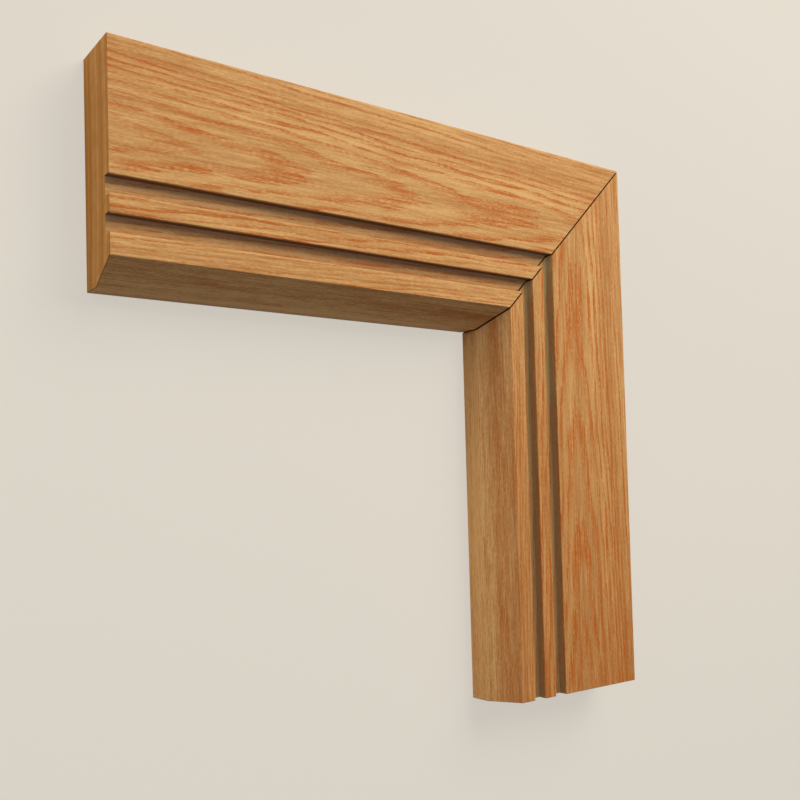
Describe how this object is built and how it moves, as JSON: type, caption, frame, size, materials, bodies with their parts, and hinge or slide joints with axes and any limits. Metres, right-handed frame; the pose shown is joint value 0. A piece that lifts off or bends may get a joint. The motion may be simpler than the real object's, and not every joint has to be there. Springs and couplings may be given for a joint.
{
  "type": "architrave corner",
  "caption": "Mitred corner of a solid oak architrave, flat face with square grooves, flat reeds and a long chamfer to a thin inner edge, to frame a door opening.",
  "frame": {"origin": "inside corner of the mitre, on the plane of the flat back", "axes": "+Z out of the moulded face, the head length runs from the mitre towards -X and the leg length towards -Y"},
  "size_m": [0.215, 0.21, 0.02],
  "materials": {
    "head_oak": "planed and sanded oak, satin",
    "leg_oak": "planed and sanded oak, satin"
  },
  "bodies": {
    "root": {"head_length": "head_oak", "leg_length": "leg_oak"}
  },
  "joints": []
}
